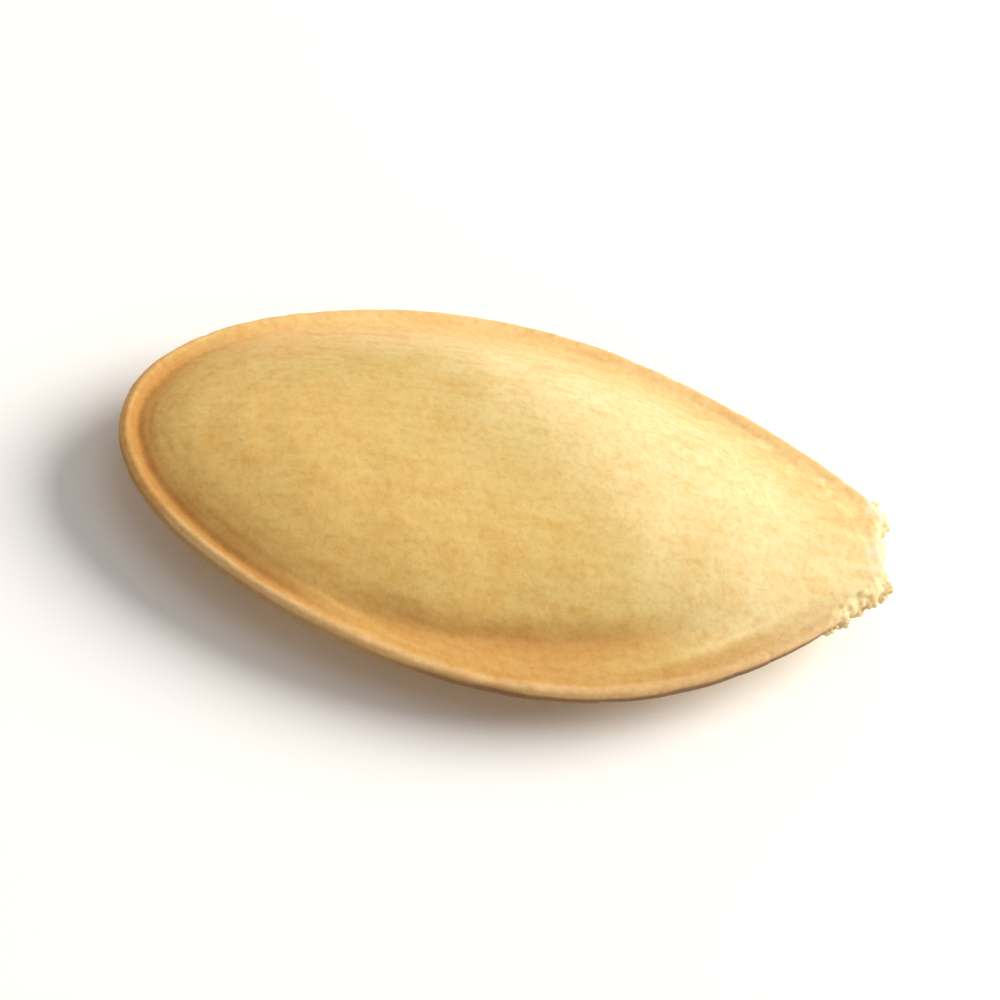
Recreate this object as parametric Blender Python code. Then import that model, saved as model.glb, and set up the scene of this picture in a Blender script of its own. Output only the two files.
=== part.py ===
"""A dried pumpkin seed in its shell, lying on its belly, with the hilum end along +X.

Metres, +Z up. The origin is under the middle of the seed, on the surface that it rests on.
The whole seed is one body: two domed faces inside a raised lip, and a blunt, frayed hilum.
"""

import math

import bmesh
import bpy
import numpy as np
from mathutils import Vector

MM = 0.001
NAME = "pumpkin_seed"

# Driving dimensions
LENGTH = 18.0 * MM
WIDTH = 10.3 * MM
UPPER_CROWN = 1.75 * MM  # top of the upper face above the seam
LOWER_CROWN = 1.50 * MM  # belly below the seam
REST_DEPTH = 0.05 * MM  # how much of the belly the flat resting spot takes off

# Edge seen from above, for a seed of half-length 1
HILUM_PLACE = 0.932  # where the blunt hilum end cuts the pointed outline
HILUM_SLANT = 0.03  # how much further out it reaches on the +Y side
HILUM_CORNER = 0.012  # how round its two corners are
TAPER = (-0.081, -0.262, -0.142)  # change of half-width with the cosine, its square and its cube
BOW = 0.058  # sideways bend of the whole outline
SKEW = 0.048  # the broad end leans one way and the hilum end the other
NOTCH_DEPTH = 0.11 * MM  # ragged bites and bumps of the hilum end

# Lip and margin, measured inwards from the edge
LIP_HALF = 0.24 * MM  # half the thickness of the lip
LIP_CREST = 0.13 * MM  # from the edge to the top of the lip
LIP_REACH = 0.42 * MM  # where the lip has run out into the margin
MARGIN_HALF = 0.16 * MM  # half the thickness of the margin
MARGIN_BROAD = 0.57 * MM  # width of lip and margin at the broad end
MARGIN_WIDE_SIDE = 1.42 * MM  # along the -Y side
MARGIN_NARROW_SIDE = 0.68 * MM  # along the +Y side
MARGIN_HILUM = 0.46 * MM

# Dome
DOME_FULLNESS = 1.5  # 1 gives a parabola, more gives steeper flanks round a flatter top
DOME_MIDDLE = (-0.45 * MM, 0.20 * MM)  # the thickest place
DOME_TAPER = 0.75  # how much of its fall to the hilum is an even curve, and the rest a parabola
DOME_END = 0.90 * MM  # it runs out over this much before the tip

# Hilum end
HILUM_ZONE = 4.5 * MM  # length over which the end thickens and wrinkles
NECK_HEIGHT = 0.16 * MM  # of the swelling round the hilum
NECK_HALF_WIDTH = 1.70 * MM
NECK_END = 0.8 * MM  # where the swelling starts to go down again, short of the tip
RIDGE_HEIGHT = 0.04 * MM
RIDGES = 2.5  # wrinkles on each side of the middle line

# Growth: what keeps the seed from being perfectly even
BEND = 0.20 * MM
TWIST = 0.10 * MM
LIP_WANDER = 0.07
FACE_WAVE = 0.035 * MM

# Mesh
SEGMENTS = 104
RINGS_A_SIDE = 18
LIP_SHARE = 4 / RINGS_A_SIDE
FOOT_SHARE = 9 / RINGS_A_SIDE
NET_HILUM = 2.40 * MM  # the net's ring at the dome's foot stays this far from the uncut point
NET_LENGTH = 14.2 * MM  # the oval that the net's rings turn into towards the dome's middle
NET_WIDTH = 7.6 * MM
NET_ROUNDING = 0.3  # how much of that oval the ring at the foot has already
OUTLINE_STEPS = 720

SHELL_COLOUR = (0.73, 0.50, 0.21, 1.0)
SHELL_ROUGHNESS = 0.72


def smooth(low, high, value):
    """0 below low, 1 above high, and an even curve between."""
    share = min(1.0, max(0.0, (value - low) / (high - low)))
    return share * share * (3.0 - 2.0 * share)


def cut_blunt(along, across):
    """Holds the outline back at the hilum, with a rounded corner."""
    place = HILUM_PLACE + HILUM_SLANT * across
    return along - HILUM_CORNER * math.log1p(math.exp((along - place) / HILUM_CORNER))


def unit_outline(turn, blunt):
    """The edge before it is scaled, cut blunt or left to its point at turn 0, the hilum."""
    along = math.cos(turn)
    taper = sum(change * along ** (power + 1) for power, change in enumerate(TAPER))
    across = math.sin(turn) * (1.0 + taper)
    x = cut_blunt(along, across) if blunt else along
    return x, across + BOW * (x * x - 0.5) + SKEW * (x**3 - x)


def outline_frame():
    """The scale that makes the unit outline LENGTH by WIDTH, and the middle of its box."""
    turns = [math.tau * step / OUTLINE_STEPS for step in range(OUTLINE_STEPS)]
    points = [unit_outline(turn, blunt=True) for turn in turns]
    low = [min(point[axis] for point in points) for axis in range(2)]
    high = [max(point[axis] for point in points) for axis in range(2)]
    scale = (LENGTH / (high[0] - low[0]), WIDTH / (high[1] - low[1]))
    return scale, ((low[0] + high[0]) / 2, (low[1] + high[1]) / 2)


SCALE, MIDDLE = outline_frame()


def edge(turn, blunt=True):
    """A point of the edge in plan."""
    x, y = unit_outline(turn, blunt)
    return Vector(((x - MIDDLE[0]) * SCALE[0], (y - MIDDLE[1]) * SCALE[1]))


def inside_edge(turn, inward, blunt=True):
    """The point of the edge moved in until it is that far from the edge's tangent line."""
    step = math.tau / OUTLINE_STEPS
    along = (edge(turn + step, blunt) - edge(turn - step, blunt)).normalized()
    point = edge(turn, blunt)
    tangent_distance = abs(point.x * along.y - point.y * along.x)
    return point * (1.0 - inward / tangent_distance)


def hilum_share(x):
    """0 over most of the seed, 1 at the hilum."""
    return smooth(LENGTH / 2 - HILUM_ZONE, LENGTH / 2, x)


def margin_width(turn):
    """Lip and margin together: narrow at both ends, widest along the -Y side."""
    x = edge(turn).x
    wide = 0.5 - 0.5 * math.sin(turn)
    side_width = MARGIN_NARROW_SIDE + (MARGIN_WIDE_SIDE - MARGIN_NARROW_SIDE) * wide
    width = MARGIN_BROAD + (side_width - MARGIN_BROAD) * smooth(-0.45 * LENGTH, 0.14 * LENGTH, x)
    return width + (MARGIN_HILUM - width) * smooth(0.26 * LENGTH, 0.46 * LENGTH, x)


def notch(turn):
    """Depth of the bites out of the hilum end, deepest at its -Y corner."""
    near = smooth(0.80, 0.94, math.cos(turn))
    leaning = 0.8 - turn
    wave = math.sin(19.0 * turn + 5.9) + 0.4 * math.sin(43.0 * turn)
    return NOTCH_DEPTH * near * leaning * wave


def lip_half(turn):
    """Half the lip's thickness, a little uneven round the seed."""
    wander = math.sin(5.0 * turn + 1.0) + 0.6 * math.sin(13.0 * turn + 2.4)
    return LIP_HALF * (1.0 + LIP_WANDER * wander)


def lip_section(share, thick):
    """Outer quarter of the lip: distance inwards and half-thickness."""
    angle = share * math.pi / 2
    return LIP_CREST * (1.0 - math.cos(angle)), thick * math.sin(angle)


def margin_half(inward, thick):
    """Half-thickness from the lip's top down to the thin margin."""
    fall = smooth(LIP_CREST, LIP_REACH, inward)
    return thick + (MARGIN_HALF - thick) * fall


def foot_side(first_turn, last_turn):
    """One side of the dome's foot, as its x in rising order and its y."""
    turns = np.linspace(first_turn, last_turn, OUTLINE_STEPS)
    points = [inside_edge(turn, margin_width(turn), blunt=False) for turn in turns]
    points.sort(key=lambda point: point.x)
    return [point.x for point in points], [point.y for point in points]


LEFT_FOOT = foot_side(0.0, math.pi)
RIGHT_FOOT = foot_side(math.pi, math.tau)


def dome_height(plan):
    """Height of the dome, from 0 at its foot to 1 in the middle of the face."""
    left = float(np.interp(plan.x, *LEFT_FOOT))
    right = float(np.interp(plan.x, *RIGHT_FOOT))
    if not right < plan.y < left:
        return 0.0
    across = (2.0 * plan.y - left - right) / (left - right)
    middle = DOME_MIDDLE[0]
    if plan.x < middle:
        along = (middle - plan.x) / (middle - LEFT_FOOT[0][0])
        profile = 1.0 - min(1.0, along) ** 2
    else:
        along = (plan.x - middle) / (LENGTH / 2 - middle)
        fall = DOME_TAPER * smooth(0.0, 1.0, along) + (1.0 - DOME_TAPER) * along**2
        profile = (1.0 - fall) * smooth(LENGTH / 2, LENGTH / 2 - DOME_END, plan.x)
    return 1.0 - (1.0 - max(0.0, profile) * (1.0 - across**2)) ** DOME_FULLNESS


def neck(plan):
    """The swelling and the wrinkles that run into the hilum."""
    share = hilum_share(plan.x)
    end = 1.0 - 0.6 * smooth(LENGTH / 2 - NECK_END, LENGTH / 2, plan.x)
    swelling = NECK_HEIGHT * end * math.exp(-((plan.y / NECK_HALF_WIDTH) ** 2))
    half_width = WIDTH / 2 * (1.1 - plan.x / (LENGTH / 2))
    return share * (swelling + RIDGE_HEIGHT * math.cos(RIDGES * math.pi * plan.y / half_width))


def face_wave(plan, side):
    """Shallow hollows and swellings of the shell."""
    along = 3.4 * plan.x / (LENGTH / 2) + side
    across = 2.6 * plan.y / (WIDTH / 2) - 0.7 * side
    return FACE_WAVE * math.sin(along) * math.cos(across)


def warp(plan):
    """How far the seam leaves a flat plane."""
    along = plan.x / (LENGTH / 2)
    across = plan.y / (WIDTH / 2)
    return BEND * along * along + TWIST * along * across


def net_ring(turn, share):
    """A ring of the net, from the dome's foot at share 0, by a rounder oval, to its middle."""
    width = margin_width(turn)
    width += (NET_HILUM - width) * smooth(0.30 * LENGTH, 0.5 * LENGTH, edge(turn).x)
    foot = inside_edge(turn, width, blunt=False)
    middle = Vector(DOME_MIDDLE)
    oval = Vector((NET_LENGTH / 2 * math.cos(turn), NET_WIDTH / 2 * math.sin(turn)))
    rounding = NET_ROUNDING * smooth(0.10 * LENGTH, 0.40 * LENGTH, foot.x)
    rounding += (1.0 - rounding) * smooth(0.0, 0.6, share)
    return foot.lerp(middle + oval, rounding).lerp(middle, share)


def seed_point(turn, rise, side):
    """A point of the seed; rise runs from 0 at the seam to 1 in the middle of a face."""
    thick = lip_half(turn)
    lip = min(1.0, rise / LIP_SHARE)
    margin = min(1.0, max(0.0, (rise - LIP_SHARE) / (FOOT_SHARE - LIP_SHARE)))
    inner = max(0.0, (rise - FOOT_SHARE) / (1.0 - FOOT_SHARE))
    inward, half = lip_section(lip, thick)
    plan = inside_edge(turn, inward + notch(turn))
    if margin > 0.0:
        ring = net_ring(turn, inner)
        half = margin_half(LIP_CREST + margin * (ring - plan).length, thick)
        plan = plan.lerp(ring, margin)
    crown = UPPER_CROWN if side > 0 else LOWER_CROWN
    lift = dome_height(plan) if margin > 0.0 else 0.0
    half += (crown - MARGIN_HALF) * lift
    half += neck(plan) * (1.0 - lift) * smooth(0.0, LIP_SHARE, rise)
    half += face_wave(plan, side) * smooth(LIP_SHARE, FOOT_SHARE, rise)
    return Vector((plan.x, plan.y, warp(plan) + side * half))


def shape_sphere(mesh):
    """Moves each vertex of a unit sphere to its place on the seed; its equator is the seam."""
    for vertex in mesh.verts:
        turn = math.atan2(vertex.co.y, vertex.co.x)
        latitude = math.asin(max(-1.0, min(1.0, vertex.co.z)))
        side = 1.0 if latitude >= 0.0 else -1.0
        vertex.co = seed_point(turn, abs(latitude) / (math.pi / 2), side)


def cut_resting_spot(mesh):
    """Takes the lowest bit of the belly off flat and closes the cut with one face."""
    lowest = min(vertex.co.z for vertex in mesh.verts)
    everything = mesh.verts[:] + mesh.edges[:] + mesh.faces[:]
    level = Vector((0.0, 0.0, lowest + REST_DEPTH))
    cut = bmesh.ops.bisect_plane(
        mesh, geom=everything, plane_co=level, plane_no=(0.0, 0.0, 1.0), clear_inner=True
    )
    rim = [item for item in cut["geom_cut"] if isinstance(item, bmesh.types.BMEdge)]
    bmesh.ops.edgeloop_fill(mesh, edges=rim)


def stand_at_origin(mesh):
    """Puts the middle of the seed's box over the origin and its flat spot on Z = 0."""
    low = Vector(min(vertex.co[axis] for vertex in mesh.verts) for axis in range(3))
    high = Vector(max(vertex.co[axis] for vertex in mesh.verts) for axis in range(3))
    shift = Vector((-(low.x + high.x) / 2, -(low.y + high.y) / 2, -low.z))
    bmesh.ops.translate(mesh, verts=mesh.verts, vec=shift)


def shell_material():
    """Dry shell: matte and pale tan."""
    material = bpy.data.materials.new("seed_shell")
    material.use_nodes = True
    surface = material.node_tree.nodes["Principled BSDF"]
    surface.inputs["Base Color"].default_value = SHELL_COLOUR
    surface.inputs["Roughness"].default_value = SHELL_ROUGHNESS
    surface.inputs["Metallic"].default_value = 0.0
    return material


def build_seed(collection):
    mesh = bmesh.new()
    bmesh.ops.create_uvsphere(
        mesh, u_segments=SEGMENTS, v_segments=2 * RINGS_A_SIDE, radius=1.0
    )
    shape_sphere(mesh)
    cut_resting_spot(mesh)
    stand_at_origin(mesh)
    bmesh.ops.recalc_face_normals(mesh, faces=mesh.faces)
    data = bpy.data.meshes.new(NAME)
    mesh.to_mesh(data)
    mesh.free()
    data.shade_smooth()
    data.set_sharp_from_angle(angle=math.radians(50.0))
    data.materials.append(shell_material())
    collection.objects.link(bpy.data.objects.new(NAME, data))


def main():
    for item in list(bpy.data.objects):
        bpy.data.objects.remove(item, do_unlink=True)
    collection = bpy.data.collections.new(NAME)
    bpy.context.scene.collection.children.link(collection)
    build_seed(collection)


main()
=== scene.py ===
"""A dried pumpkin seed in its shell, lying on a pale floor under soft studio light."""
import math
import random

import bpy
import numpy as np
from mathutils import Matrix, Vector, kdtree, noise


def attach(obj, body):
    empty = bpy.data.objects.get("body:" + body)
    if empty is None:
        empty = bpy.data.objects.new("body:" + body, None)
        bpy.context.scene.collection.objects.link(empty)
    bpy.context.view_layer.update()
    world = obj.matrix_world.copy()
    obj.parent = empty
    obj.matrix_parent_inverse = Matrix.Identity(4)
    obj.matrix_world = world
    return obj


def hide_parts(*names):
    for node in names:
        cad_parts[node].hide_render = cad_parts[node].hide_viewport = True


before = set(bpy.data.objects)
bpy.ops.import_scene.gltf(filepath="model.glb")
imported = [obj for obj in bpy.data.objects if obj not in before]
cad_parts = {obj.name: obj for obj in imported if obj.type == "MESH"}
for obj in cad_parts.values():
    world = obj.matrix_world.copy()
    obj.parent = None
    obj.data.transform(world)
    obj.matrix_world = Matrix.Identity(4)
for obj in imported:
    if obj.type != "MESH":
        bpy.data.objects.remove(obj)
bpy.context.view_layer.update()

MM = 0.001
WORKBENCH_SCALE = 1000.0  # the shell is shaped at a thousand times its size, so a unit is 1 mm

# All measures of the shell are in mm. The hilum points along +X, and the wide margin is on the
# -Y side, the near one. Names that end in _X or _Y are places along or across the seed, in _WAY
# distances inwards from the edge in plan, and in _RISE heights. A pair of them is a fade, which
# is 0 at the first and 1 at the second. A noise is given by its size, its seed and its octaves.

# The shell's net
SKIN_GRID = 0.065
NET_ROUNDS = 6
RELAX_PULL = 0.5
MERGE_WITHIN = 1e-6  # in metres
EDGE_STEPS = 480
LEVEL_REACH = 6  # steps each way over which the edge's height is evened out
HOLLOW_ROUNDS = 52

# Its parts
BROAD_END_X = (-3.5, -6.5)
BEFORE_HILUM_X = (8.4, 5.0)
NEAR_HILUM_X = (6.0, 9.0)
BODY_WAY = (0.4, 1.6)
OUTER_RIM_WAY = (0.16, 0.08)
MARGIN_BROAD = 0.57  # width of lip and margin at the broad end
MARGIN_WIDE_SIDE = 1.42  # along the -Y side
MARGIN_WIDENS_X = (-8.1, 2.5)
WIDE_SIDE_Y = (0.6, -1.2)
WIDE_SIDE_START_X = (-5.2, -2.4)
WIDE_SIDE_END_X = (5.2, 0.8)
FAR_SIDE_Y = (-0.2, 1.6)
FAR_SIDE_X = (-8.6, -6.6)
REST_SPOT_RISE = (0.0, 0.05)

# Noise
NOISE_SHIFT = (7.31, 3.77, 5.13)  # how far each seed lies from the one before
NOISE_FALL = 0.8  # by which finer octaves are weaker
NOISE_FINER = 2.0  # how much finer each octave is

# Torn coat at the hilum: lumps that are part of the shell, and loose shreds on them
TORN_SEED = 5
TORN_END_X = 8.35
TORN_SET_BACK = 0.25  # by which the torn end starts further out on the +Y side
TORN_SET_BACK_Y = (0.6, 1.3)
TORN_CORNER_X = 7.5  # the torn coat reaches back to here along the -Y edge
TORN_CORNER_Y = -1.0
CORNER_SHARE_X = (7.2, 7.9)
CORNER_SHARE_Y = (-0.7, -1.2)
CORNER_SHARE_WAY = (0.45, 0.24)
LUMP_GROUND = {"band": 0.16, "rise": 0.24}
LUMPS = {"count": 26, "fineness": 3, "sunk": 0.45,
         "lengths": (0.16, 0.34), "widths": (0.50, 0.95), "thicknesses": (0.35, 0.60)}
SHRED_GROUND = {"band": 0.06, "rise": 0.16}
SHREDS = {"count": 44, "fineness": 2, "sunk": 0.55,
          "lengths": (0.08, 0.16), "widths": (0.45, 0.80), "thicknesses": (0.30, 0.55)}
SHRED_ROUGHNESS = 0.022
SHRED_NOISE = (0.09, 11, 3)
PIECE_FAN = 0.45  # how far lumps and shreds fan out to the sides
PIECE_TURN = 0.7
PIECE_ROLL = 0.9
PIECE_TILT = 0.5

# Easing of the steps inside the wide margin and inside the lip of the +Y side
EASE_ROUNDS = 138
EASE_LEAST = 0.01
NEAR_EASE = 0.28
NEAR_EASE_Y = (0.4, -0.8)
NEAR_EASE_FULL_X = (1.8, 4.2)
NEAR_EASE_END_X = (8.8, 8.0)
NEAR_EASE_FOOT_WAY = (0.26, 0.46)
NEAR_EASE_TOP_WAY = (3.0, 2.3)
FAR_EASE = 0.80
FAR_EASE_Y = (0.4, 1.6)
FAR_EASE_START_X = (-8.0, -6.0)
FAR_EASE_END_X = (8.6, 7.6)
FAR_EASE_TOP_WAY = (2.2, 1.2)
FAR_FOOT = 0.18
FAR_FOOT_DROP = 0.10
FAR_FOOT_DROP_X = (-3.0, 1.0)
FAR_FOOT_SOFTNESS = 0.16

# Relief of lip and edge
LIP_WIDTH = 0.30
LIP_SOFTNESS = 0.08
LIP_WAVE = 0.016
LIP_NOISE = (0.75, 7, 2)
NICK_DEPTH = 0.045
NICK_NOISE = (0.26, 8, 2)
NICK_FROM = 0.36
NICK_MOST = 0.5
SEAM_HALF_WIDTH = 0.05
SEAM_DEPTH = 0.030
CREASE_WAY = 0.40  # the fine crease that runs inside the lip
CREASE_HALF_WIDTH = 0.09
CREASE_DEPTH = 0.040
CREASE_AT_BROAD_END = 1.5
CREASE_AT_FAR_SIDE = 0.6
CREASE_FAR_SIDE_Y = (0.0, 1.2)
DASH_NOISE = (0.8, 3, 2)
DASH_MEAN = 0.65
DASH_SWING = 0.9
DASH_MOST = 1.3
WRINKLE_HEIGHT = 0.010
WRINKLE_NOISE = (0.13, 6, 2)
WRINKLE_STRETCH = 14.0  # how much longer than wide the wrinkles beside the lip are
WRINKLE_START_WAY = (0.2, 0.4)
WRINKLE_END_WAY = (1.5, 0.8)

# Relief of face and hilum
SWELLING_HEIGHT = 0.016
SWELLING_NOISE = (2.4, 1, 2)
SWELLING_AT_RIM = 0.3
UNEVEN_HEIGHT = 0.006
UNEVEN_NOISE = (0.42, 2, 3)
FLANK_ABOVE = 0.08  # from the margin to the hollow that gives the near flank its shoulder
FLANK_HALF_WIDTH = 0.30
FLANK_DEPTH = 0.030
ALONG_SEED = (0.22, 1.0, 1.0)  # wrinkles and fibres are about 4.5 times as long as wide
HILUM_WRINKLE_HEIGHT = 0.032
HILUM_WRINKLE_NOISE = (0.34, 4, 2)
TORN_HEIGHT = 0.10
TORN_NOISE = (0.22, 5, 3)
TIP_X = (8.3, 9.0)

# Colour zones of the lip
LIP_NARROWING = 0.07  # at the broad end
LIP_TONE_WAY = (0.02, -0.12)  # from the lip's inner side
# Painted shade: the lip of the broad end is painted a darker tan
TAN_LIP_X = (-7.2, -8.7)
FAR_LIP_Y = (-0.6, 0.8)
FAR_BAND = 0.95
FAR_BAND_WAY = (2.4, 0.9)
FAR_BAND_X = (-8.0, -5.0)
# Painted shade: the lip's outer side below its crest is painted dark brown, most of all on the -Y
# side
RIM_SHADE_RISE = (0.15, 0.01)  # from the height of the edge
RIM_SHADE_LEAST = 0.15
RIM_SHADE_Y = (1.5, -0.5)
RIM_SHADE_AT_BROAD_END = 0.6
RIM_SHADE_FULL_X = (-4.0, -1.0)
RIM_SHADE_END_X = (8.7, 7.2)

# Colour zones of margin and flank
# Painted shade: the warm zone darkens the near flank, the margin and the broad end
SHOULDER_WAY = (0.50, 0.0)  # from the foot of the flank
MARGIN_PALER = 0.12
MARGIN_PALER_WAY = (-0.1, -0.6)
FLANK_NOISE = (1.1, 12, 2)
FLANK_WAVER = 0.12
WARM_MARGIN = 0.85
WARM_MARGIN_WAY = (0.82, 0.52)
WARM_MARGIN_FAR_LOSS = 0.9
WARM_BROAD = 0.7
WARM_BROAD_WAY = (1.6, 0.5)
WARM_BROAD_FAR_LOSS = 0.5
BROAD_NOISE = (1.1, 15, 2)
BROAD_WAVER = 0.15
BROAD_FAR_Y = (0.0, 2.5)
# Painted shade in the groove of the broad end
RING_START_WAY = (0.15, 0.27)
RING_END_WAY = (0.95, 0.45)
RING_FAR_LOSS = 0.55
# Painted shade in the hollows of the shell
GROOVE_HOLLOW = (0.008, 0.045)
GROOVE_AT_HILUM = 0.35
GROOVE_WIDE_SIDE_LOSS = 0.6
GROOVE_FAR_LOSS = 0.8
GROOVE_FAR_LOSS_X = (-3.0, 1.0)

# Colour zones of the hilum
RAGGED_REACH = 0.35
RAGGED_NOISE = (0.5, 13, 2)
BLEACH_X = (7.6, 9.0)
WHITE_X = (8.3, 8.9)
WHITE_Y = (-1.0, 0.2)
WHITE_LEAST = 0.35
WHITE_AT_CORNER = 0.25
SCURF_NOISE = (0.34, 14, 3)
SCURF_FROM = (0.12, 0.42)
SCURF_START_WAY = (0.30, 0.45)
SCURF_END_WAY = (1.2, 0.6)
SCURF_Y = (-1.0, 0.5)
SCURF_LEAST = 0.35
SCURF_X = (4.6, 7.0)

# Colours, and each zone's strength
GROUND_BROAD = "#F0C877"
GROUND_CHANGES = ((-5.0, 4.5, "#DABD76"), (2.4, 8.0, "#EFDAA2"))  # to the middle, to the hilum
GROUND_SLANT = (1.0, 1.3, 0.0)  # the changes run aslant, from the -Y side of the broad end
GROUND_WAVER = 7.0
# The first four zones and the seventh are painted shade: darker colour on flank, margin, grooves,
# hollows, the broad end's lip and the lip's outer side
ZONES = (
    ("warm_shade_share", 0.85, "#C6934A"),
    ("ring_shade_share", 0.85, "#B68340"),
    ("hollow_shade_share", 0.50, "#C2863A"),
    ("lip_shade_share", 0.75, "#DFAC66"),
    ("pale_lip_share", 0.75, "#DFBA83"),
    ("far_lip_share", 0.80, "#F0C783"),
    ("rim_shade_share", 0.80, "#6E4216"),
    ("scurf_share", 0.45, "#F8E8BC"),
    ("bleach_share", 0.65, "#F4DDA2"),
    ("white_share", 0.80, "#FFF4D2"),
)
CLOUDS = (1.1, 3.0, "#FBF3E6")  # scale, detail and shade
FIBRES = (3.6, 3.0, "#FAF3E6")
GRAIN = (6.0, 4.0, "#F6ECD9")
WHITE = "#FFFFFF"
FLECK = "#BF8A45"
FLECK_MOST = 0.10
COAT_SHADE = "#F3D494"
COAT_LIGHT = "#FFEBBB"
PAPER = "#F7F5F2"

# Sockets of a colour Mix node, which have no names of their own
MIX_SHARE, MIX_FIRST, MIX_SECOND = 0, 6, 7
MIX_COLOUR = 2

# Camera: the view of the seed's face that the photograph has
VIEW_AZIMUTH = -24.0
VIEW_ELEVATION = 50.0
VIEW_ROLL = 27.7
VIEW_LENS = 200.0
VIEW_WIDTH = 22.4 * MM
VIEW_CENTRE_HEIGHT = 1.7 * MM
VIEW_LEFT = 0.24 * MM
VIEW_DOWN = 0.04 * MM
VIEW_CLIP = (0.005, 10.0)
SENSOR = 36.0

# Studio, in metres and watts
FLOOR_SIZE = 3.0
KEY_LIGHT = {"distance": 0.6, "size": 0.50, "power": 5.0, "colour": "#FFFBF5"}
KEY_UP = 0.52
KEY_BACK = 0.12
FILL_LIGHT = {"distance": 0.7, "size": 0.5, "power": 0.5, "colour": WHITE}
FILL_RIGHT = 0.3
FILL_UP = 0.5
FILL_BACK = 0.8
BACKDROP_STRENGTH = 0.36


# Small helpers

def hex_colour(text):
    """sRGB hex to the linear colour that the shader takes."""
    parts = [int(text[i:i + 2], 16) / 255 for i in (1, 3, 5)]
    linear = [p / 12.92 if p <= 0.04045 else ((p + 0.055) / 1.055) ** 2.4 for p in parts]
    return (*linear, 1.0)


def add(tree, kind, inputs=None, **settings):
    """Adds one node with its settings, values and links."""
    made = tree.nodes.new(kind)
    for name, value in settings.items():
        setattr(made, name, value)
    for name, value in (inputs or {}).items():
        if isinstance(value, bpy.types.NodeSocket):
            tree.links.new(value, made.inputs[name])
        else:
            made.inputs[name].default_value = value
    return made


def new_material(name):
    material = bpy.data.materials.new(name)
    material.use_nodes = True
    tree = material.node_tree
    return material, tree, tree.nodes["Principled BSDF"]


def pick_only(item):
    """Deselects everything and makes one object the selected, active one."""
    if bpy.context.object and bpy.context.object.mode != "OBJECT":
        bpy.ops.object.mode_set(mode="OBJECT")
    bpy.ops.object.select_all(action="DESELECT")
    item.select_set(True)
    bpy.context.view_layer.objects.active = item


def apply_modifiers(item):
    pick_only(item)
    for modifier in list(item.modifiers):
        bpy.ops.object.modifier_apply(modifier=modifier.name)


def scale_mesh(item, factor):
    """Scales about the origin and applies it, so the place stays in the mesh."""
    pick_only(item)
    item.scale = (factor,) * 3
    bpy.ops.object.transform_apply(location=False, rotation=False, scale=True)


def read_vertices(item, kind):
    """One row for each vertex: its place for co, its normal for normal."""
    flat = np.empty(len(item.data.vertices) * 3, np.float32)
    item.data.vertices.foreach_get(kind, flat)
    return flat.reshape(-1, 3).astype(float)


def points_of(item):
    return read_vertices(item, "co")


def move_outwards(item, points, move):
    """Moves each point along its normal."""
    moved = points + read_vertices(item, "normal") * move[:, None]
    item.data.vertices.foreach_set("co", moved.astype(np.float32).ravel())
    item.data.update()


def fade(value, places):
    """0 at the first place, 1 at the second and an even curve between them."""
    start, full = places
    share = np.clip((value - start) / (full - start), 0.0, 1.0)
    return share * share * (3.0 - 2.0 * share)


def at_least(least, share):
    """Lifts a share that runs from 0 to 1, so that it runs from the least to 1."""
    return least + (1.0 - least) * share


def bell(value, middle, half_width):
    """1 at the middle, with an even fall to both sides."""
    return np.exp(-(((value - middle) / half_width) ** 2))


def noise_at(points, size, seed, octaves):
    """Seeded noise from about -1 to 1, with swellings of that size in mm."""
    shift = Vector([seed * step for step in NOISE_SHIFT])
    return np.array([
        noise.fractal(Vector(point) / size + shift, NOISE_FALL, NOISE_FINER, octaves)
        for point in points
    ])


# Places on the shell

def edge_line(points):
    """The shell's edge in plan, as points all round."""
    turns = np.arctan2(points[:, 1], points[:, 0])
    reach = np.hypot(points[:, 0], points[:, 1])
    steps = ((turns + math.pi) / math.tau * EDGE_STEPS).astype(int) % EDGE_STEPS
    line = []
    for step in range(EDGE_STEPS):
        inside = np.nonzero(steps == step)[0]
        line.append(points[inside[np.argmax(reach[inside])]])
    return np.array(line)


def evened_levels(line):
    """The height of the edge, as a running mean all round."""
    ring = np.concatenate((line[-LEVEL_REACH:, 2], line[:, 2], line[:LEVEL_REACH, 2]))
    width = 2 * LEVEL_REACH + 1
    return np.convolve(ring, np.full(width, 1.0 / width), "valid")


def place_on_shell(points):
    """Each point's distance from the edge in plan, and the height and run of the edge there."""
    line = edge_line(points)
    strides = np.linalg.norm(np.diff(line[:, :2], axis=0, append=line[:1, :2]), axis=1)
    runs = np.concatenate(([0.0], np.cumsum(strides)[:-1]))
    tree = kdtree.KDTree(len(line))
    for index, point in enumerate(line):
        tree.insert((point[0], point[1], 0.0), index)
    tree.balance()
    found = [tree.find((point[0], point[1], 0.0)) for point in points]
    nearest = np.array([index for _, index, _ in found])
    way = np.array([distance for _, _, distance in found])
    return way, evened_levels(line)[nearest], runs[nearest]


def wide_margin_share(points):
    """1 along the -Y side, where the margin is wide, fading out at both ends."""
    x, y = points[:, 0], points[:, 1]
    return fade(y, WIDE_SIDE_Y) * fade(x, WIDE_SIDE_START_X) * fade(x, WIDE_SIDE_END_X)


def far_side_share(points):
    """1 along the +Y side, up to the broad end."""
    return fade(points[:, 1], FAR_SIDE_Y) * fade(points[:, 0], FAR_SIDE_X)


def torn_corner_share(points, way):
    """1 on the rim of the -Y corner of the hilum, where the torn coat reaches back."""
    corner = fade(points[:, 0], CORNER_SHARE_X) * fade(points[:, 1], CORNER_SHARE_Y)
    return corner * fade(way, CORNER_SHARE_WAY)


def above_margin(points, way):
    """How far inside the foot of the near flank each point is; below 0 on the margin itself."""
    wider = fade(points[:, 0], MARGIN_WIDENS_X)
    return way - MARGIN_BROAD - (MARGIN_WIDE_SIDE - MARGIN_BROAD) * wider


# Shell

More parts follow.
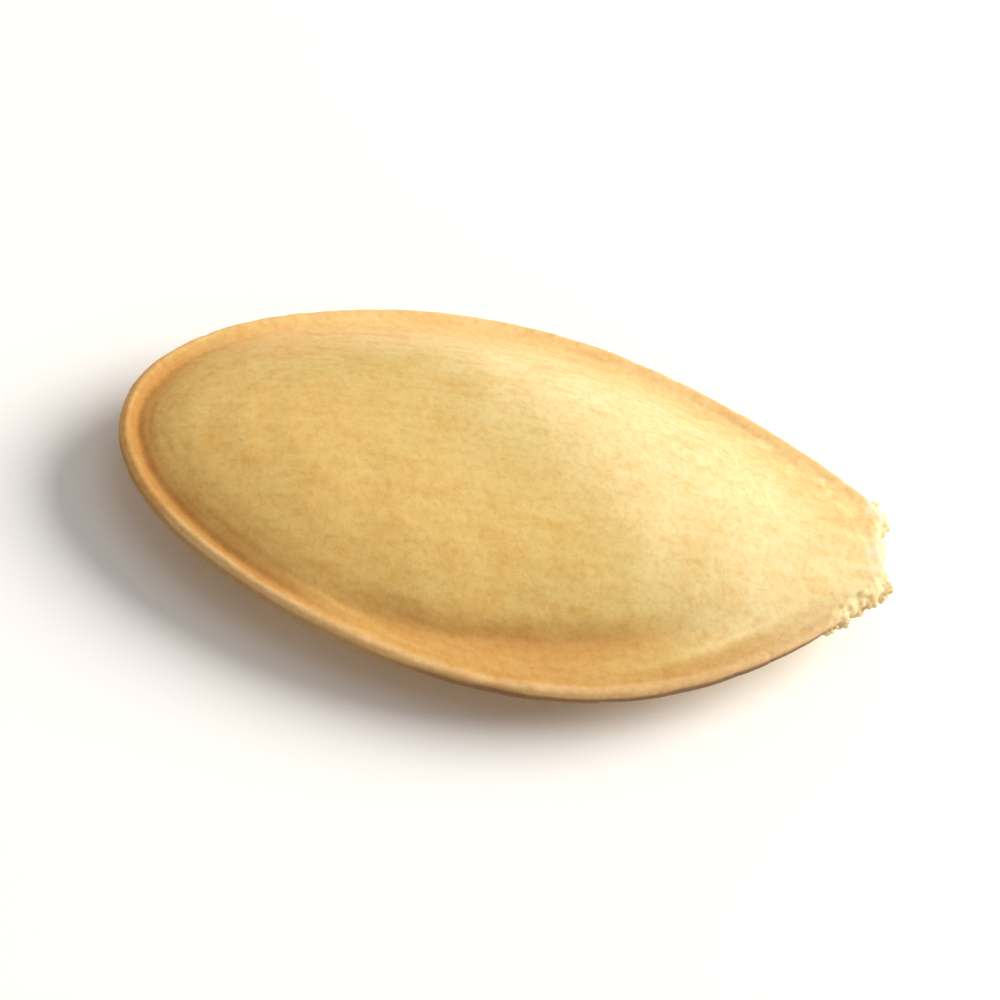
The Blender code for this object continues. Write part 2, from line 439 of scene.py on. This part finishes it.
def copy_of_solid():
    """The shell's shape from the fixed frame, merged and on the workbench scale."""
    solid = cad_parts["pumpkin_seed"]
    skin = bpy.data.objects.new("seed_shell_skin", solid.data.copy())
    bpy.context.scene.collection.objects.link(skin)
    skin.data.materials.clear()
    pick_only(skin)
    bpy.ops.object.mode_set(mode="EDIT")
    bpy.ops.mesh.select_all(action="SELECT")
    bpy.ops.mesh.remove_doubles(threshold=MERGE_WITHIN)
    bpy.ops.object.mode_set(mode="OBJECT")
    scale_mesh(skin, WORKBENCH_SCALE)
    return skin


def refine(skin):
    """An even, fine net over the whole shell."""
    remesh = skin.modifiers.new("net", "REMESH")
    remesh.mode = "VOXEL"
    remesh.voxel_size = SKIN_GRID
    relax = skin.modifiers.new("relax", "SMOOTH")
    relax.factor = RELAX_PULL
    relax.iterations = NET_ROUNDS
    apply_modifiers(skin)


def torn_anchors(points, band, rise):
    """The points of the hilum's blunt end that torn coat grows from."""
    way, level, _ = place_on_shell(points)
    x, y = points[:, 0], points[:, 1]
    near_edge = (way < band) & (np.abs(points[:, 2] - level) < rise)
    end = x > TORN_END_X + TORN_SET_BACK * fade(y, TORN_SET_BACK_Y)
    corner = (x > TORN_CORNER_X) & (y < TORN_CORNER_Y)
    return points[(end | corner) & near_edge]


def scatter(draw, anchors, count, fineness, sunk, lengths, widths, thicknesses):
    """Flattened balls at random anchors, turned outwards and partly sunk in."""
    made = []
    for _ in range(count):
        place = anchors[draw.randrange(len(anchors))]
        size = draw.uniform(*lengths)
        outward = math.atan2(place[1] * PIECE_FAN, 1.0) + draw.uniform(-PIECE_TURN, PIECE_TURN)
        place = place - size * sunk * np.array((math.cos(outward), math.sin(outward), 0.0))
        roll = draw.uniform(-PIECE_ROLL, PIECE_ROLL)
        tilt = draw.uniform(-PIECE_TILT, PIECE_TILT)
        width, thickness = draw.uniform(*widths), draw.uniform(*thicknesses)
        bpy.ops.object.select_all(action="DESELECT")
        bpy.ops.mesh.primitive_ico_sphere_add(
            subdivisions=fineness, radius=size, location=place,
            rotation=(roll, tilt, outward), scale=(1.0, width, thickness))
        made.append(bpy.context.object)
    return made


def join_pieces(pieces, name):
    pick_only(pieces[0])
    for piece in pieces:
        piece.select_set(True)
    bpy.ops.object.join()
    joined = bpy.context.object
    joined.name = name
    bpy.ops.object.transform_apply(location=True, rotation=True, scale=True)
    return joined


def add_lumps(skin):
    """Lumps of torn coat grown into the blunt end, under one net with the shell."""
    anchors = torn_anchors(points_of(skin), **LUMP_GROUND)
    lumps = scatter(random.Random(TORN_SEED), anchors, **LUMPS)
    skin = join_pieces([skin, *lumps], skin.name)
    refine(skin)
    return skin


def near_side_ease(x, y, way):
    """The step beside the wide margin runs out before the hilum, so it is eased most there."""
    weight = fade(x, NEAR_EASE_FULL_X) * fade(x, NEAR_EASE_END_X)
    weight = fade(y, NEAR_EASE_Y) * np.maximum(weight, NEAR_EASE)
    return weight * (fade(way, NEAR_EASE_FOOT_WAY) * fade(way, NEAR_EASE_TOP_WAY))


def far_side_ease(x, y, way):
    """The step inside the lip of the +Y side is soft all along."""
    side = fade(y, FAR_EASE_Y) * fade(x, FAR_EASE_START_X) * fade(x, FAR_EASE_END_X)
    foot = FAR_FOOT - FAR_FOOT_DROP * fade(x, FAR_FOOT_DROP_X)
    above_foot = fade(way, (foot, foot + FAR_FOOT_SOFTNESS))
    return FAR_EASE * side * above_foot * fade(way, FAR_EASE_TOP_WAY)


def ease_steps(skin):
    """Smooths the shell where its face rises from the margin and from the far lip."""
    points = points_of(skin)
    way, _, _ = place_on_shell(points)
    x, y = points[:, 0], points[:, 1]
    weight = near_side_ease(x, y, way) + far_side_ease(x, y, way)
    group = skin.vertex_groups.new(name="eased")
    for index in np.nonzero(weight > EASE_LEAST)[0]:
        group.add([int(index)], float(weight[index]), "REPLACE")
    ease = skin.modifiers.new("ease", "SMOOTH")
    ease.factor = RELAX_PULL
    ease.iterations = EASE_ROUNDS
    ease.vertex_group = group.name
    apply_modifiers(skin)
    skin.vertex_groups.clear()


# Relief of the shell: each function gives a height or a depth along the normal

def swellings(points, way):
    """Shallow swellings of the face, and finer unevenness all over."""
    body = at_least(SWELLING_AT_RIM, fade(way, BODY_WAY))
    return (SWELLING_HEIGHT * noise_at(points, *SWELLING_NOISE) * body
            + UNEVEN_HEIGHT * noise_at(points, *UNEVEN_NOISE))


def lip_relief(points, way):
    """The lip is uneven, with small nicks."""
    on_lip = fade(way, (LIP_WIDTH + LIP_SOFTNESS, LIP_WIDTH - LIP_SOFTNESS))
    nick = np.clip(noise_at(points, *NICK_NOISE) - NICK_FROM, 0.0, NICK_MOST)
    return on_lip * (LIP_WAVE * noise_at(points, *LIP_NOISE) - NICK_DEPTH * nick)


def flank_hollow(points, way):
    """The hollow that gives the near flank its shoulder."""
    flank = bell(above_margin(points, way), FLANK_ABOVE, FLANK_HALF_WIDTH)
    return FLANK_DEPTH * flank * wide_margin_share(points)


def crease(points, way):
    """The crease inside the lip: whole round the broad end, in dashes along the +Y side."""
    broad = CREASE_AT_BROAD_END * fade(points[:, 0], BROAD_END_X)
    dashes = np.clip(DASH_MEAN + DASH_SWING * noise_at(points, *DASH_NOISE), 0.0, DASH_MOST)
    far_side = CREASE_AT_FAR_SIDE * fade(points[:, 1], CREASE_FAR_SIDE_Y) * dashes
    line = bell(way, CREASE_WAY, CREASE_HALF_WIDTH)
    return CREASE_DEPTH * line * np.maximum(broad, far_side)


def edge_wrinkles(way, run, height):
    """Wrinkles beside the lip that follow the edge."""
    along_edge = np.column_stack((way, run / WRINKLE_STRETCH, np.sign(height)))
    band = fade(way, WRINKLE_START_WAY) * fade(way, WRINKLE_END_WAY)
    return WRINKLE_HEIGHT * band * noise_at(along_edge, *WRINKLE_NOISE)


def seam_line(way, height):
    """The line between the shell's halves."""
    return SEAM_DEPTH * (bell(height, 0.0, SEAM_HALF_WIDTH) * fade(way, OUTER_RIM_WAY))


def hilum_wrinkles(points):
    """Wrinkles that run into the hilum."""
    near_hilum = fade(points[:, 0], NEAR_HILUM_X)
    stretched = points * np.array(ALONG_SEED)
    return HILUM_WRINKLE_HEIGHT * near_hilum * noise_at(stretched, *HILUM_WRINKLE_NOISE)


def torn_relief(points, way):
    """Rough ground where the coat is torn, on the blunt end and the corner beside it."""
    torn = np.maximum(fade(points[:, 0], TIP_X), torn_corner_share(points, way))
    return TORN_HEIGHT * torn * noise_at(points, *TORN_NOISE)


def relief(points, way, level, run):
    """How far each point of the shell moves out along its normal."""
    height = points[:, 2] - level
    move = (swellings(points, way) + lip_relief(points, way)
            - flank_hollow(points, way) - crease(points, way)
            + edge_wrinkles(way, run, height) - seam_line(way, height)
            + hilum_wrinkles(points) + torn_relief(points, way))
    # the spot that the seed stands on stays flat and on the floor
    return move * fade(points[:, 2], REST_SPOT_RISE)


# Colour zones of the shell: each is a share from 0 to 1, kept as an attribute

def neighbour_mean(values, edges, counts):
    total = np.zeros_like(values)
    np.add.at(total, edges[:, 0], values[edges[:, 1]])
    np.add.at(total, edges[:, 1], values[edges[:, 0]])
    return total / counts[:, None]


def hollowness(skin):
    """Positive where the shell is hollow at a scale of about half a millimetre."""
    edges = np.empty(len(skin.data.edges) * 2, np.int32)
    skin.data.edges.foreach_get("vertices", edges)
    edges = edges.reshape(-1, 2)
    points = points_of(skin)
    counts = np.bincount(edges.ravel(), minlength=len(points)).astype(float)
    spread = points.copy()
    for _ in range(HOLLOW_ROUNDS):
        mean = neighbour_mean(spread, edges, counts)
        spread = (1.0 - RELAX_PULL) * spread + RELAX_PULL * mean
    return np.einsum("ij,ij->i", spread - points, read_vertices(skin, "normal"))


def keep_values(skin, name, values):
    layer = skin.data.attributes.new(name, "FLOAT", "POINT")
    layer.data.foreach_set("value", values.astype(np.float32))


def keep_lip_shares(skin, points, way):
    """The lip is tan at the broad end, which is painted shade, paler on the -Y side, and golden on
    the +Y side.
    """
    x = points[:, 0]
    inner_side = LIP_WIDTH - LIP_NARROWING * fade(x, BROAD_END_X)
    lip = fade(way, [inner_side + place for place in LIP_TONE_WAY])
    # painted shade on the lip of the broad end
    tan = lip * fade(x, TAN_LIP_X)
    far = fade(points[:, 1], FAR_LIP_Y)
    keep_values(skin, "lip_shade_share", tan)
    keep_values(skin, "pale_lip_share", (lip - tan) * (1.0 - far))
    # on the +Y side the gold runs on from the lip over the rim of the face
    band = FAR_BAND * fade(way, FAR_BAND_WAY) * fade(x, FAR_BAND_X)
    keep_values(skin, "far_lip_share", np.maximum(lip - tan, band) * far)


def keep_rim_shade_share(skin, points, way, level):
    """Painted shade: the lip's outer side, the shaded underside of the rim, is painted dark brown,
    most of all on the -Y side.
    """
    x = points[:, 0]
    outside = fade(way, OUTER_RIM_WAY) * fade(points[:, 2] - level, RIM_SHADE_RISE)
    near = fade(points[:, 1], RIM_SHADE_Y) * at_least(RIM_SHADE_AT_BROAD_END, fade(x, RIM_SHADE_FULL_X))
    painted_rim_shade = outside * at_least(RIM_SHADE_LEAST, near) * fade(x, RIM_SHADE_END_X)
    keep_values(skin, "rim_shade_share", painted_rim_shade)


def keep_warm_shade_share(skin, points, way):
    """Painted shade: warm, darker colour on the near flank, on the margin and, softly, on the
    broad end.
    """
    above = above_margin(points, way) + FLANK_WAVER * noise_at(points, *FLANK_NOISE)
    flank = fade(above, SHOULDER_WAY) * wide_margin_share(points)
    flank *= 1.0 - MARGIN_PALER * fade(above, MARGIN_PALER_WAY)
    margin = fade(way, WARM_MARGIN_WAY) * fade(points[:, 0], BEFORE_HILUM_X)
    margin *= 1.0 - WARM_MARGIN_FAR_LOSS * far_side_share(points)
    ragged_way = way + BROAD_WAVER * noise_at(points, *BROAD_NOISE)
    broad = fade(ragged_way, WARM_BROAD_WAY) * fade(points[:, 0], BROAD_END_X)
    broad *= 1.0 - WARM_BROAD_FAR_LOSS * fade(points[:, 1], BROAD_FAR_Y)
    warm = np.maximum(flank, np.maximum(WARM_MARGIN * margin, WARM_BROAD * broad))
    keep_values(skin, "warm_shade_share", warm)


def keep_ring_shade_share(skin, points, way):
    """Painted shade: a darker ring in the groove of the broad end."""
    ring = fade(way, RING_START_WAY) * fade(way, RING_END_WAY) * fade(points[:, 0], BROAD_END_X)
    ring *= 1.0 - RING_FAR_LOSS * fade(points[:, 1], BROAD_FAR_Y)
    keep_values(skin, "ring_shade_share", ring)


def keep_hollow_shade_share(skin, points):
    """Painted shade: darker colour wherever the shell is hollow."""
    x = points[:, 0]
    groove = fade(hollowness(skin), GROOVE_HOLLOW)
    groove *= at_least(GROOVE_AT_HILUM, fade(x, BEFORE_HILUM_X))
    groove *= 1.0 - GROOVE_WIDE_SIDE_LOSS * wide_margin_share(points)
    groove *= 1.0 - GROOVE_FAR_LOSS * far_side_share(points) * fade(x, GROOVE_FAR_LOSS_X)
    keep_values(skin, "hollow_shade_share", groove)


def keep_hilum_shares(skin, points, way):
    """Cream to white where the coat is torn, and pale marks beside the lip before it."""
    x, y = points[:, 0], points[:, 1]
    ragged = x + RAGGED_REACH * noise_at(points, *RAGGED_NOISE)
    corner = torn_corner_share(points, way)
    keep_values(skin, "bleach_share", np.maximum(fade(ragged, BLEACH_X), corner))
    white_end = fade(ragged, WHITE_X) * at_least(WHITE_LEAST, fade(y, WHITE_Y))
    keep_values(skin, "white_share", np.maximum(white_end, WHITE_AT_CORNER * corner))
    marks = fade(noise_at(points, *SCURF_NOISE), SCURF_FROM)
    marks *= fade(way, SCURF_START_WAY) * fade(way, SCURF_END_WAY)
    marks *= at_least(SCURF_LEAST, fade(y, SCURF_Y))
    keep_values(skin, "scurf_share", marks * fade(x, SCURF_X))


def make_skin():
    skin = copy_of_solid()
    refine(skin)
    skin = add_lumps(skin)
    ease_steps(skin)
    points = points_of(skin)
    way, level, run = place_on_shell(points)
    move_outwards(skin, points, relief(points, way, level, run))
    keep_lip_shares(skin, points, way)
    keep_rim_shade_share(skin, points, way, level)
    keep_warm_shade_share(skin, points, way)
    keep_ring_shade_share(skin, points, way)
    keep_hollow_shade_share(skin, points)
    keep_hilum_shares(skin, points, way)
    scale_mesh(skin, 1.0 / WORKBENCH_SCALE)
    pick_only(skin)
    bpy.ops.object.shade_smooth()
    skin.data.materials.append(seed_shell_material())
    return skin


def make_shreds(skin):
    """Loose shreds of torn coat, sunk into the blunt end of the hilum and pointing out of it."""
    anchors = torn_anchors(points_of(skin) * WORKBENCH_SCALE, **SHRED_GROUND)
    made = scatter(random.Random(TORN_SEED), anchors, **SHREDS)
    shreds = join_pieces(made, "hilum_shreds")
    points = points_of(shreds)
    move_outwards(shreds, points, SHRED_ROUGHNESS * noise_at(points, *SHRED_NOISE))
    scale_mesh(shreds, 1.0 / WORKBENCH_SCALE)
    bpy.ops.object.shade_smooth()
    shreds.data.materials.append(torn_coat_material())
    return shreds


# Materials: patterns are in mm, and a noise of scale 1 has swellings of about 1 mm

def seed_shell_material():
    """Dried seed shell: woody and papery, matte with a chalky bloom, so soft light fades on it."""
    material, tree, shader = new_material("dried_seed_shell")
    place = add(tree, "ShaderNodeTexCoord").outputs["Object"]
    spot = add(tree, "ShaderNodeVectorMath", {"Vector": place, "Scale": WORKBENCH_SCALE},
               operation="SCALE").outputs["Vector"]
    colour = shell_ground_colour(tree, spot)
    colour = shell_zone_colours(tree, colour)
    colour = shell_grain(tree, spot, colour)
    tree.links.new(colour, shader.inputs["Base Color"])
    tree.links.new(shell_bump(tree, spot), shader.inputs["Normal"])
    shader.inputs["Roughness"].default_value = 0.76
    shader.inputs["Specular IOR Level"].default_value = 0.3
    shader.inputs["Sheen Weight"].default_value = 0.06
    shader.inputs["Sheen Roughness"].default_value = 0.6
    shader.inputs["Subsurface Weight"].default_value = 0.10
    shader.inputs["Subsurface Radius"].default_value = (1.0, 0.45, 0.15)
    shader.inputs["Subsurface Scale"].default_value = 0.25 * MM
    return material


def shell_ground_colour(tree, spot):
    """Warm tan at the broad end, yellower in the middle and pale before the hilum."""
    across = add(tree, "ShaderNodeVectorMath", {0: spot, 1: GROUND_SLANT},
                 operation="DOT_PRODUCT").outputs["Value"]
    drift = add(tree, "ShaderNodeTexNoise", {"Vector": spot, "Scale": 0.30, "Detail": 2.0})
    waver = add(tree, "ShaderNodeMath",
                {0: drift.outputs["Fac"], 1: GROUND_WAVER, 2: across},
                operation="MULTIPLY_ADD").outputs["Value"]
    colour = hex_colour(GROUND_BROAD)
    for start, full, tone in GROUND_CHANGES:
        share = add(tree, "ShaderNodeMapRange",
                    {"Value": waver, "From Min": start, "From Max": full},
                    interpolation_type="SMOOTHSTEP").outputs["Result"]
        colour = add(tree, "ShaderNodeMix",
                     {MIX_SHARE: share, MIX_FIRST: colour, MIX_SECOND: hex_colour(tone)},
                     data_type="RGBA").outputs[MIX_COLOUR]
    return colour


def shell_zone_colours(tree, colour):
    """Painted shade on flank, margin, grooves, hollows, the lip's broad end and its outer side;
    lip tones, pale marks and bleached hilum.
    """
    for name, strength, tone in ZONES:
        zone = add(tree, "ShaderNodeAttribute", attribute_name=name).outputs["Fac"]
        share = add(tree, "ShaderNodeMath", {0: zone, 1: strength},
                    operation="MULTIPLY").outputs["Value"]
        colour = add(tree, "ShaderNodeMix",
                     {MIX_SHARE: share, MIX_FIRST: colour, MIX_SECOND: hex_colour(tone)},
                     data_type="RGBA").outputs[MIX_COLOUR]
    return colour


def shell_grain(tree, spot, colour):
    """Floury clouds of a millimetre, grain of a sixth of one, fibres along the seed and flecks."""
    fibre_place = add(tree, "ShaderNodeVectorMath", {0: spot, 1: ALONG_SEED},
                      operation="MULTIPLY").outputs["Vector"]
    for vector, layer in ((spot, CLOUDS), (fibre_place, FIBRES), (spot, GRAIN)):
        scale, detail, dark = layer
        pattern = add(tree, "ShaderNodeTexNoise",
                      {"Vector": vector, "Scale": scale, "Detail": detail, "Roughness": 0.65})
        share = add(tree, "ShaderNodeMapRange",
                    {"Value": pattern.outputs["Fac"], "From Min": 0.30, "From Max": 0.55})
        shade = add(tree, "ShaderNodeMix",
                    {MIX_SHARE: share.outputs["Result"], MIX_FIRST: hex_colour(dark),
                     MIX_SECOND: hex_colour(WHITE)}, data_type="RGBA").outputs[MIX_COLOUR]
        colour = add(tree, "ShaderNodeMix",
                     {MIX_SHARE: 1.0, MIX_FIRST: colour, MIX_SECOND: shade},
                     data_type="RGBA", blend_type="MULTIPLY").outputs[MIX_COLOUR]
    speck = add(tree, "ShaderNodeTexNoise",
                {"Vector": spot, "Scale": 2.6, "Detail": 2.0, "Roughness": 0.5})
    share = add(tree, "ShaderNodeMapRange",
                {"Value": speck.outputs["Fac"], "From Min": 0.64, "From Max": 0.78,
                 "To Max": FLECK_MOST})
    return add(tree, "ShaderNodeMix",
               {MIX_SHARE: share.outputs["Result"], MIX_FIRST: colour,
                MIX_SECOND: hex_colour(FLECK)}, data_type="RGBA").outputs[MIX_COLOUR]


def shell_bump(tree, spot):
    """Fine, dry grain of about a seventh of a millimetre."""
    fine = add(tree, "ShaderNodeTexNoise",
               {"Vector": spot, "Scale": 7.0, "Detail": 5.0, "Roughness": 0.7})
    return add(tree, "ShaderNodeBump",
               {"Height": fine.outputs["Fac"], "Strength": 0.4,
                "Distance": 0.03 * MM}).outputs["Normal"]


def torn_coat_material():
    """Torn seed coat: dry, fluffy and cream-coloured, so it catches the light at the tip."""
    material, tree, shader = new_material("torn_seed_coat")
    place = add(tree, "ShaderNodeTexCoord").outputs["Object"]
    tint = add(tree, "ShaderNodeTexNoise",
               {"Vector": place, "Scale": 4.0 * WORKBENCH_SCALE, "Detail": 3.0})
    share = add(tree, "ShaderNodeMapRange",
                {"Value": tint.outputs["Fac"], "From Min": 0.35, "From Max": 0.65})
    colour = add(tree, "ShaderNodeMix",
                 {MIX_SHARE: share.outputs["Result"], MIX_FIRST: hex_colour(COAT_SHADE),
                  MIX_SECOND: hex_colour(COAT_LIGHT)}, data_type="RGBA")
    tree.links.new(colour.outputs[MIX_COLOUR], shader.inputs["Base Color"])
    shader.inputs["Roughness"].default_value = 0.9
    shader.inputs["Specular IOR Level"].default_value = 0.2
    return material


def floor_material():
    """White studio paper: uncoated and matte, so it shows the soft shadow and no reflection."""
    material, _, shader = new_material("white_studio_paper")
    shader.inputs["Base Color"].default_value = hex_colour(PAPER)
    shader.inputs["Roughness"].default_value = 0.9
    return material


# Studio

def make_floor():
    bpy.ops.object.select_all(action="DESELECT")
    bpy.ops.mesh.primitive_plane_add(size=FLOOR_SIZE, location=(0.0, 0.0, 0.0))
    floor = bpy.context.object
    floor.name = "studio_floor"
    floor.data.materials.append(floor_material())


def view_axes():
    """Right, up and back of the rolled camera."""
    azimuth, elevation, roll = map(math.radians, (VIEW_AZIMUTH, VIEW_ELEVATION, VIEW_ROLL))
    back = Vector((math.sin(azimuth) * math.cos(elevation),
                   -math.cos(azimuth) * math.cos(elevation), math.sin(elevation)))
    right = Vector((math.cos(azimuth), math.sin(azimuth), 0.0))
    up = back.cross(right)
    return (right * math.cos(roll) + up * math.sin(roll),
            up * math.cos(roll) - right * math.sin(roll), back)


def make_camera():
    right, up, back = view_axes()
    camera = bpy.data.objects.new("camera", bpy.data.cameras.new("camera"))
    bpy.context.scene.collection.objects.link(camera)
    camera.data.lens = VIEW_LENS
    camera.data.sensor_width = SENSOR
    camera.data.clip_start, camera.data.clip_end = VIEW_CLIP
    centre = Vector((0.0, 0.0, VIEW_CENTRE_HEIGHT)) - right * VIEW_LEFT - up * VIEW_DOWN
    distance = VIEW_WIDTH * VIEW_LENS / SENSOR
    turn = Matrix((right, up, back)).transposed().to_4x4()
    camera.matrix_world = Matrix.Translation(centre + back * distance) @ turn
    bpy.context.scene.camera = camera


def area_light(name, direction, distance, size, power, colour):
    """A round softbox that shines from that direction at the seed."""
    light = bpy.data.objects.new(name, bpy.data.lights.new(name, "AREA"))
    bpy.context.scene.collection.objects.link(light)
    light.data.shape = "DISK"
    light.data.size = size
    light.data.energy = power
    light.data.color = hex_colour(colour)[:3]
    light.location = direction.normalized() * distance
    light.rotation_euler = direction.to_track_quat("Z", "Y").to_euler()


def make_lights():
    right, up, back = view_axes()
    area_light("key_softbox", right + up * KEY_UP + back * KEY_BACK, **KEY_LIGHT)
    area_light("fill_softbox", right * FILL_RIGHT + up * FILL_UP + back * FILL_BACK,
               **FILL_LIGHT)
    world = bpy.data.worlds.new("studio")
    bpy.context.scene.world = world
    world.use_nodes = True
    backdrop = world.node_tree.nodes["Background"]
    backdrop.inputs["Color"].default_value = hex_colour(WHITE)
    backdrop.inputs["Strength"].default_value = BACKDROP_STRENGTH
    bpy.context.scene.view_settings.view_transform = "Standard"


def main():
    skin = make_skin()
    shreds = make_shreds(skin)
    for piece in (skin, shreds):
        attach(piece, "root")
    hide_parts("pumpkin_seed")
    make_floor()
    make_camera()
    make_lights()


main()
